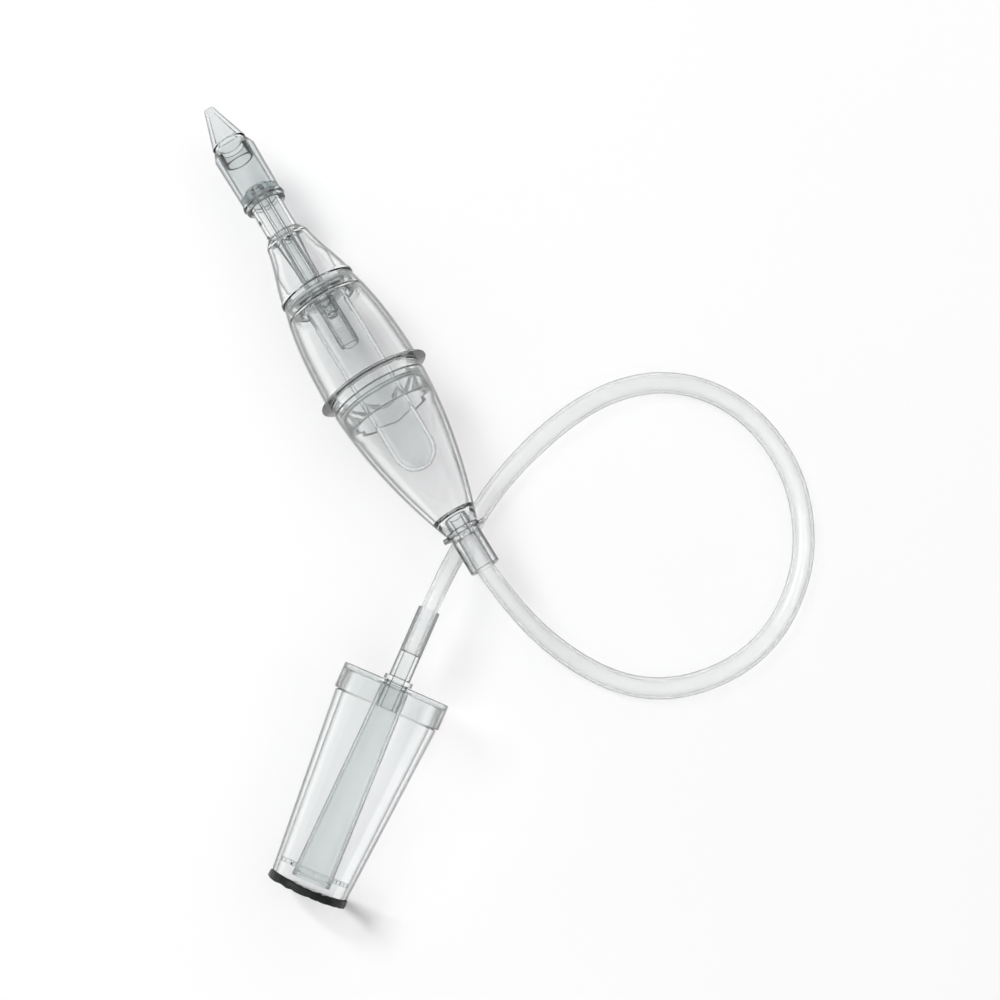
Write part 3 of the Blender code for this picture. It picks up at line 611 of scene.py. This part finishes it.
def make_barrel(material):
    front, back, _ = span("nozzle_barrel")
    front_radius = BARREL_BORE + BARREL_WALL
    recess = back - COLLAR_INSERT - GAP
    partition_front = recess - PARTITION
    bead = back - BEAD_SETBACK
    barrel = lathe("barrel_moulding", [
        (front, BARREL_BORE), (front, front_radius - BARREL_CHAMFER),
        (front + BARREL_CHAMFER_LENGTH, front_radius), (bead - BEAD_SLOPE, BARREL_BACK_RADIUS),
        (bead, BARREL_BACK_RADIUS + BEAD_HEIGHT), (bead + BEAD_WIDTH, BARREL_BACK_RADIUS + BEAD_HEIGHT),
        (bead + BEAD_WIDTH + BEAD_SLOPE, BARREL_BACK_RADIUS), (back, BARREL_BACK_RADIUS),
        (back, COLLAR_RADIUS + GAP), (recess, COLLAR_RADIUS + GAP), (recess, NOZZLE_TUBE_RADIUS + GAP),
        (partition_front, NOZZLE_TUBE_RADIUS + GAP), (partition_front, BARREL_BORE)], HEAD, corner=0.3)
    hand_over(barrel, "nozzle", "nozzle_barrel", material)


def make_nozzle_tube(material):
    front, back, flange = span("nozzle_tube")
    tube = lathe("nozzle_tube_moulding", [
        (front, NOZZLE_TUBE_BORE), (front, flange), (front + TUBE_FLANGE, flange),
        (front + TUBE_FLANGE, NOZZLE_TUBE_RADIUS), (back, NOZZLE_TUBE_RADIUS),
        (back, NOZZLE_TUBE_BORE)], HEAD, SMALL_STEPS)
    hand_over(tube, "nozzle", "nozzle_tube", material)


def make_neck(material, vent_wall):
    collar_front, spigot_back, _ = span("neck_cone")
    barrel_back = collar_front + COLLAR_INSERT
    collar_back = barrel_back + COLLAR_LENGTH
    neck_back = collar_back + NECK_LENGTH
    counterbore = collar_back + GAP
    flange_back = counterbore + GAP + INLET_FLANGE
    outer = contour((collar_back + NECK_ROOT_LENGTH, NECK_ROOT_RADIUS),
                    (neck_back - SHOULDER_THICKNESS, NECK_BACK_RADIUS), NECK_SLOPES)
    inner = [(along, radius - SHELL_WALL) for along, radius in outer
             if flange_back + GAP < along and radius - SHELL_WALL < NECK_SPIGOT_BORE - GAP]
    bead = NECK_BACK_RADIUS + SHOULDER_BEAD
    middle = neck_back + SEAL_SETBACK
    half = SEAL_SECTION + GAP
    floor = NECK_SPIGOT_RADIUS - 2 * SEAL_SECTION - GAP
    neck = lathe("neck_moulding", [
        (collar_front, COLLAR_BORE), (collar_front, COLLAR_RADIUS), (collar_back, COLLAR_RADIUS),
        (collar_back, NECK_FRONT_RADIUS), *outer, (neck_back - SHOULDER_THICKNESS, bead),
        (neck_back, bead), (neck_back, NECK_SPIGOT_RADIUS), (middle - half, NECK_SPIGOT_RADIUS),
        (middle - half, floor), (middle + half, floor), (middle + half, NECK_SPIGOT_RADIUS),
        (spigot_back, NECK_SPIGOT_RADIUS), (spigot_back, NECK_SPIGOT_BORE),
        (inner[-1][0] + NECK_BORE_SLOPE, NECK_SPIGOT_BORE), *reversed(inner),
        (flange_back + GAP, INLET_FLANGE_RADIUS + GAP), (counterbore, INLET_FLANGE_RADIUS + GAP),
        (counterbore, COLLAR_BORE)], HEAD)
    neck.data.materials.append(material)
    # the vent holes' walls take the near-black painted shade finish
    for back in COLLAR_VENTS:
        at = HEAD @ Vector(((barrel_back + back) * MM, -COLLAR_RADIUS * MM, 0.0))
        cut_or_join(neck, drill(at, (0, 1, 0), VENT_RADIUS, VENT_DEPTH), "DIFFERENCE", vent_wall)
    at = HEAD @ Vector(((collar_back + NECK_VENT) * MM, 0.0, NECK_ROOT_RADIUS * MM))
    cut_or_join(neck, drill(at, (0, 0, 1), VENT_RADIUS, VENT_DEPTH), "DIFFERENCE", vent_wall)
    hand_over(neck, "neck", "neck_cone", material)


def make_inlet(material):
    front, back, flange = span("inlet_tube")
    root = front + INLET_FLANGE
    inlet = lathe("inlet_moulding", [
        (front, INLET_BORE), (front, flange), (root, flange), (root, INLET_ROOT_RADIUS),
        (root + INLET_TAPER, INLET_RADIUS), (back, INLET_RADIUS), (back, INLET_BORE)], HEAD, SMALL_STEPS)
    hand_over(inlet, "neck", "inlet_tube", material)


def make_holder(material):
    front, back, rim = span("cup_holder")
    boss_radius = span("collection_cup")[2] - CUP_WALL - GAP
    hub = INLET_RADIUS + GAP
    step = front + HOLDER_THICKNESS
    holder = lathe("holder_moulding", [
        (front, hub), (front, rim), (step, rim), (step, boss_radius), (back, boss_radius),
        (back, hub)], HEAD, SMALL_STEPS)
    hand_over(holder, "neck", "cup_holder", material)


def make_cup(material):
    front, back, radius = span("collection_cup")
    side_end = back - radius
    outer = dome(side_end, radius - CUP_TAPER, radius)
    inner = dome(side_end, radius - CUP_TAPER - CUP_WALL, radius - CUP_WALL)
    cup = lathe("cup_moulding", [
        *reversed(inner), (front, radius - CUP_WALL), (front, radius), *outer], HEAD,
        SMALL_STEPS, closed=False)
    middle = front + CUP_WINDOW_START + CUP_WINDOW_LENGTH / 2
    for turn in (0.0, math.pi / 2):
        at = HEAD @ Vector((middle * MM, 0.0, 0.0))
        size = (CUP_WINDOW_LENGTH, CUP_WINDOW_WIDTH, 3 * radius)
        cut_or_join(cup, soft_block(at, size, (turn, 0.0, 0.0)), "DIFFERENCE")
    hand_over(cup, "cup", "collection_cup", material)


def make_middle(material):
    front, skirt_back, lip = span("middle_shell")
    band_back = skirt_back - SKIRT_LENGTH
    lip_back = band_back - BAND_LENGTH
    middle_back = lip_back - LIP_THICKNESS
    mouth = NECK_SPIGOT_RADIUS + GAP
    mouth_back = span("neck_cone")[1] + GAP
    outer = contour((front, MIDDLE_FRONT_RADIUS), (middle_back, MIDDLE_BACK_RADIUS), MIDDLE_SLOPES)
    inner = [(along, radius - SHELL_WALL) for along, radius in outer if along > mouth_back + GAP]
    skirt_bore = SKIRT_RADIUS - SKIRT_WALL
    middle = band_back + SEAL_SETBACK
    half = SEAL_SECTION + GAP
    floor = SKIRT_RADIUS - 2 * SEAL_SECTION - GAP
    shell = lathe("middle_moulding", [
        (front, mouth), *outer, (lip_back - LIP_EDGE, lip), (lip_back, lip), (lip_back, BAND_RADIUS),
        (band_back, BAND_RADIUS), (band_back, SKIRT_RADIUS), (middle - half, SKIRT_RADIUS),
        (middle - half, floor), (middle + half, floor), (middle + half, SKIRT_RADIUS),
        (skirt_back, SKIRT_RADIUS), (skirt_back, skirt_bore), (lip_back, skirt_bore),
        *reversed(inner), (mouth_back, mouth)], HEAD)
    hand_over(shell, "middle", "middle_shell", material)


def make_rear(material):
    front, back, _ = span("rear_shell")
    socket_front = span("outlet_socket")[0]
    skirt_room = SKIRT_RADIUS + GAP
    room_back = span("middle_shell")[1] + 3 * GAP
    spigot_room = SOCKET_SPIGOT_RADIUS + GAP
    outer = contour((front, REAR_FRONT_RADIUS), (back, REAR_BACK_RADIUS), REAR_SLOPES, 2 * CURVE_STEPS)
    bore_start = room_back + REAR_BORE_START
    inner = [(along, radius - SHELL_WALL) for along, radius in outer
             if bore_start < along < socket_front - GAP and radius - SHELL_WALL > spigot_room]
    shell = lathe("rear_moulding", [
        (front, skirt_room), *outer, (back, spigot_room), (socket_front - GAP, spigot_room),
        *reversed(inner), (room_back, skirt_room)], HEAD)
    hand_over(shell, "rear", "rear_shell", material)


def make_socket(material):
    front, tail, _ = span("outlet_socket")
    flange_front = front + SOCKET_SPIGOT_LENGTH
    flange_back = flange_front + LUG_THICKNESS
    stop = tail - HOSE_INSERT - GAP
    room = HOSE_TAIL_RADIUS + GAP
    socket = lathe("socket_moulding", [
        (front, AIR_BORE), (front, SOCKET_SPIGOT_RADIUS), (flange_front, SOCKET_SPIGOT_RADIUS),
        (flange_front, SOCKET_FLANGE_RADIUS), (flange_back, SOCKET_FLANGE_RADIUS),
        (flange_back, SOCKET_RADIUS), (tail, SOCKET_RADIUS), (tail, room), (stop, room),
        (stop, AIR_BORE)], HEAD, SMALL_STEPS)
    reach = LUG_REACH - LUG_ROOT
    for side in (-1, 1):
        at = HEAD @ (Vector(((flange_front + flange_back) / 2, side * (LUG_REACH - reach / 2), 0.0)) * MM)
        lug = soft_block(at, (LUG_THICKNESS - LUG_SETBACK, reach, LUG_WIDTH), corner=0.3)
        cut_or_join(socket, lug, "UNION")
    hand_over(socket, "rear", "outlet_socket", material)


def make_seal(name, node, body, material):
    front, back, radius = span(node)
    section = (back - front) / 2
    turns = [2 * math.pi * side / SEAL_SIDES for side in range(SEAL_SIDES)]
    outline = [((front + back) / 2 + section * math.cos(turn),
                radius - section + section * math.sin(turn)) for turn in turns]
    seal = lathe(name, outline, HEAD, corner=0.0)
    hand_over(seal, body, node, material)


# ---------------------------------------------------------------- the adapter
STEM_COLLAR = 1.5
STEM_COLLAR_RADIUS = 4.8
STEM_END = 8.6
LID_THICKNESS = 1.6
LID_SKIRT_WALL = 1.0
CONE_FRONT = 8.7
CONE_BACK = 67.9
CONE_WIDE_RADIUS = 17.3
CONE_NARROW_RADIUS = 12.7
CONE_WALL = 1.3
RING_FRONT = 68.2
RING_WIDTH = 1.6
RING_LUMP = 2.6
RING_LUMP_HEIGHT = 0.9
INNER_TUBE_WALL = 0.8
INNER_TUBE_WIDE_RADIUS = 6.4
INNER_TUBE_BACK = 66.2
SUPPORT_BACK = 63.9
SUPPORT_THICKNESS = 1.4
SUPPORT_RIM = 0.9
SPOKE_WIDTH = 1.6
SPOKE_SETBACK = 0.1
SPOKES = 3


def make_stem(material):
    room = HOSE_STEM_RADIUS + GAP
    stop = -STEM_LENGTH + STEM_HOSE_DEPTH + GAP
    stem = lathe("stem_moulding", [
        (-STEM_LENGTH, room), (-STEM_LENGTH, STEM_RADIUS), (-GAP - STEM_COLLAR, STEM_RADIUS),
        (-GAP - STEM_COLLAR, STEM_COLLAR_RADIUS), (-GAP, STEM_COLLAR_RADIUS), (-GAP, STEM_RADIUS),
        (STEM_END, STEM_RADIUS), (STEM_END, AIR_BORE), (stop, AIR_BORE), (stop, room)],
        ADAPTER, SMALL_STEPS, corner=0.15)
    return hand_over(stem, "rear", "adapter_stem", material)


def make_lid(material):
    lid = lathe("lid_moulding", [
        (0.0, STEM_RADIUS + GAP), (0.0, LID_RADIUS), (LID_SKIRT, LID_RADIUS),
        (LID_SKIRT, LID_RADIUS - LID_SKIRT_WALL), (LID_THICKNESS, LID_RADIUS - LID_SKIRT_WALL),
        (LID_THICKNESS, STEM_RADIUS + GAP)], ADAPTER, corner=0.4)
    return hand_over(lid, "rear", "adapter_lid", material)


def make_cone(material):
    plug = LID_RADIUS - LID_SKIRT_WALL - GAP
    bore = plug - CONE_WALL
    cone = lathe("cone_moulding", [
        (LID_THICKNESS + GAP, bore), (LID_THICKNESS + GAP, plug), (CONE_FRONT, plug),
        (CONE_FRONT, CONE_WIDE_RADIUS), (CONE_BACK, CONE_NARROW_RADIUS),
        (CONE_BACK, CONE_NARROW_RADIUS - CONE_WALL), (CONE_FRONT, bore)], ADAPTER)
    return hand_over(cone, "rear", "adapter_cone", material)


def make_inner_tube(material):
    front = LID_THICKNESS + 2 * GAP
    root = STEM_RADIUS + GAP
    tube = lathe("inner_tube_moulding", [
        (front, root), (front, root + INNER_TUBE_WALL), (INNER_TUBE_BACK, INNER_TUBE_WIDE_RADIUS),
        (INNER_TUBE_BACK, INNER_TUBE_WIDE_RADIUS - INNER_TUBE_WALL), (STEM_END, root)],
        ADAPTER, SMALL_STEPS, corner=0.15)
    return hand_over(tube, "rear", "adapter_inner_tube", material)


def make_support(material):
    front = SUPPORT_BACK - SUPPORT_THICKNESS
    slope = (CONE_WIDE_RADIUS - CONE_NARROW_RADIUS) / (CONE_BACK - CONE_FRONT)
    rim = CONE_NARROW_RADIUS - CONE_WALL - GAP
    outer = rim + slope * (CONE_BACK - SUPPORT_BACK)
    hub_bore = INNER_TUBE_WIDE_RADIUS + GAP
    hub_radius = hub_bore + SUPPORT_RIM
    support = lathe("support_moulding", [
        (front, rim - SUPPORT_RIM), (front, outer), (SUPPORT_BACK, outer),
        (SUPPORT_BACK, rim - SUPPORT_RIM)], ADAPTER, corner=0.15)
    hub = lathe("support_hub", [
        (front, hub_bore), (front, hub_radius), (SUPPORT_BACK, hub_radius),
        (SUPPORT_BACK, hub_bore)], ADAPTER, corner=0.15)
    cut_or_join(support, hub, "UNION")
    centre = ADAPTER @ (Vector(((front + SUPPORT_BACK) / 2, 0.0, 0.0)) * MM)
    for number in range(SPOKES):
        turn = ADAPTER.to_3x3() @ Matrix.Rotation(2 * math.pi * number / SPOKES, 3, "X")
        at = centre + turn @ Vector((0.0, 0.0, (rim + hub_radius - SUPPORT_RIM) / 2 * MM))
        spoke = soft_block(at, (SUPPORT_THICKNESS - SPOKE_SETBACK, SPOKE_WIDTH, rim - hub_radius),
                           turn.to_euler(), corner=0.2)
        cut_or_join(support, spoke, "UNION")
    return hand_over(support, "rear", "adapter_support", material)


def make_end_ring(material):
    ring = lathe("end_ring_moulding", [
        (RING_FRONT, RING_RADIUS - RING_WIDTH), (RING_FRONT, RING_RADIUS), (RING_BACK, RING_RADIUS),
        (RING_BACK, RING_RADIUS - RING_WIDTH)], ADAPTER, corner=0.5)
    lumps = bpy.data.textures.new("ring_lumps", "CLOUDS")
    lumps.noise_scale = RING_LUMP * MM
    uneven_skin = ring.modifiers.new("lumps", "DISPLACE")
    uneven_skin.texture = lumps
    uneven_skin.texture_coords = "LOCAL"
    uneven_skin.strength = RING_LUMP_HEIGHT * MM
    bpy.ops.object.modifier_apply(modifier=uneven_skin.name)
    return hand_over(ring, "rear", "adapter_end_ring", material)


# ------------------------------------------------------------ floor and light
FLOOR_SIZE = 5.0
LAMP_DISTANCE = 5.0
KEY_SIZE = (2.0, 2.0)
KEY_POWER = 124.0
KEY_POWER_IN_GLOSS = 96.0
FILL_SIZE = (4.0, 1.8)
FILL_POWER = 12.0
HORIZON = (0.74, 0.75, 0.75)
CEILING = (1.0, 1.0, 1.0)
CEILING_START = 0.05
CEILING_FULL = 0.75
BACKDROP = (2.0, 2.0, 2.0, 1.0)
ROOM_STRENGTH = 0.48


def make_floor():
    deselect()
    bpy.ops.mesh.primitive_plane_add(size=FLOOR_SIZE, location=(0.0, 0.0, 0.0))
    floor = bpy.context.object
    floor.name = "floor"
    material = bpy.data.materials.new("pale_floor")
    tree, shader = node_set(material)
    clouds = spread(tree, noise(tree, 3.0), 0.0, 1.0)
    tint = blend_colours(tree, clouds, (0.86, 0.86, 0.86), (0.88, 0.88, 0.88))
    tree.links.new(tint, shader.inputs["Base Color"])
    shader.inputs["Roughness"].default_value = 1.0
    shader.inputs["Specular IOR Level"].default_value = 0.0
    floor.data.materials.append(material)


def make_lamp(name, direction, size, power, in_gloss=False):
    """A soft lamp that isn't seen through clear plastic, and is seen in its gloss only when asked."""
    at = VIEW_TARGET + direction.normalized() * LAMP_DISTANCE
    turn = (VIEW_TARGET - at).to_track_quat("-Z", "Y").to_euler()
    bpy.ops.object.light_add(type="AREA", location=at, rotation=turn)
    lamp = bpy.context.object
    lamp.name = name
    lamp.data.shape = "RECTANGLE"
    lamp.data.size, lamp.data.size_y = size
    lamp.data.energy = power
    lamp.visible_transmission = False
    lamp.visible_glossy = in_gloss


def make_light():
    """Soft light from the upper left of the view, weak light opposite, and a pale room.

    The key light is two lamps in one place, and only one of them shows in the gloss.
    """
    right = Vector((math.cos(VIEW_AZIMUTH), math.sin(VIEW_AZIMUTH), 0.0))
    ahead = Vector((-math.sin(VIEW_AZIMUTH), math.cos(VIEW_AZIMUTH), 0.0))
    up = Vector((0.0, 0.0, 1.0))
    upper_left = -0.75 * right + 0.45 * ahead + 1.1 * up
    lower_right = 0.9 * right - 0.3 * ahead + 1.2 * up
    make_lamp("key", upper_left, KEY_SIZE, KEY_POWER)
    make_lamp("key_in_gloss", upper_left, KEY_SIZE, KEY_POWER_IN_GLOSS, True)
    make_lamp("fill", lower_right, FILL_SIZE, FILL_POWER, True)
    world = bpy.data.worlds.new("pale_room")
    bpy.context.scene.world = world
    world.use_nodes = True
    tree = world.node_tree
    background = tree.nodes["Background"]
    place = tree.nodes.new("ShaderNodeTexCoord")
    split = tree.nodes.new("ShaderNodeSeparateXYZ")
    height = tree.nodes.new("ShaderNodeMapRange")
    height.inputs["From Min"].default_value = CEILING_START
    height.inputs["From Max"].default_value = CEILING_FULL
    height.inputs["To Min"].default_value = 0.0
    height.inputs["To Max"].default_value = 1.0
    tree.links.new(place.outputs["Generated"], split.inputs["Vector"])
    tree.links.new(split.outputs["Z"], height.inputs["Value"])
    sky = blend_colours(tree, height.outputs["Result"], HORIZON, CEILING)
    path = tree.nodes.new("ShaderNodeLightPath")
    seen = tree.nodes.new("ShaderNodeMix")
    seen.data_type = "RGBA"
    seen.inputs["B"].default_value = BACKDROP
    tree.links.new(path.outputs["Is Camera Ray"], seen.inputs["Factor"])
    tree.links.new(sky, seen.inputs["A"])
    tree.links.new(seen.outputs["Result"], background.inputs["Color"])
    background.inputs["Strength"].default_value = ROOM_STRENGTH


def make_head():
    # Every clear plastic gets painted shade at its edges; start, full and the edge colour set where it
    # begins and how dark it gets.
    shell = clear_styrene("clear_shell_plastic", 45.0)
    tube = clear_styrene("clear_tube_plastic", 80.0, start=0.22, full=0.55)
    cup = clear_styrene("clear_cup_plastic", 120.0, edge_shade_colour=(0.25, 0.27, 0.27), start=0.50, full=0.80)
    tip = clear_styrene("clear_tip_plastic", 300.0)
    barrel = clear_styrene("clear_barrel_plastic", 700.0)
    seal = soft_seal("clear_seal_rubber")
    make_tip(tip)
    make_barrel(barrel)
    make_nozzle_tube(tube)
    # the neck's vent holes get a near-black painted shade on their walls
    make_neck(shell, painted_shade_wall("vent_wall_painted_shade"))
    make_inlet(tube)
    make_holder(cup)
    make_cup(cup)
    make_middle(shell)
    make_rear(shell)
    make_socket(tube)
    make_seal("neck_seal_ring", "neck_seal", "neck", seal)
    make_seal("joint_seal_ring", "joint_seal", "middle", seal)


def make_adapter():
    pale = (0.966, 0.960, 0.962)
    mint = (0.860, 0.905, 0.903)
    # start and full set where the painted edge shade of each adapter plastic begins and becomes full
    shell = clear_styrene("clear_adapter_plastic", 25.0, mint, pale, start=0.54, full=0.78)
    stem = clear_styrene("clear_stem_plastic", 30.0, mint, pale, start=0.25, full=0.58)
    duct = clear_styrene("clear_duct_plastic", 750.0, through=pale, start=0.42, full=0.80)
    return [make_stem(stem), make_lid(shell), make_cone(shell), make_inner_tube(duct),
            make_support(shell), make_end_ring(dark_rubber("dark_ring_rubber"))]


make_camera()
hose, hose_line, hose_length = make_hose(milky_hose("milky_hose_plastic"))
adapter_pieces = make_adapter()
make_head()
make_floor()
make_light()

scene = bpy.context.scene
scene.view_settings.view_transform = "Standard"
scene.cycles.max_bounces = 40
scene.cycles.transmission_bounces = 40
scene.cycles.transparent_max_bounces = 60
scene.cycles.caustics_refractive = True
scene.cycles.caustics_reflective = False
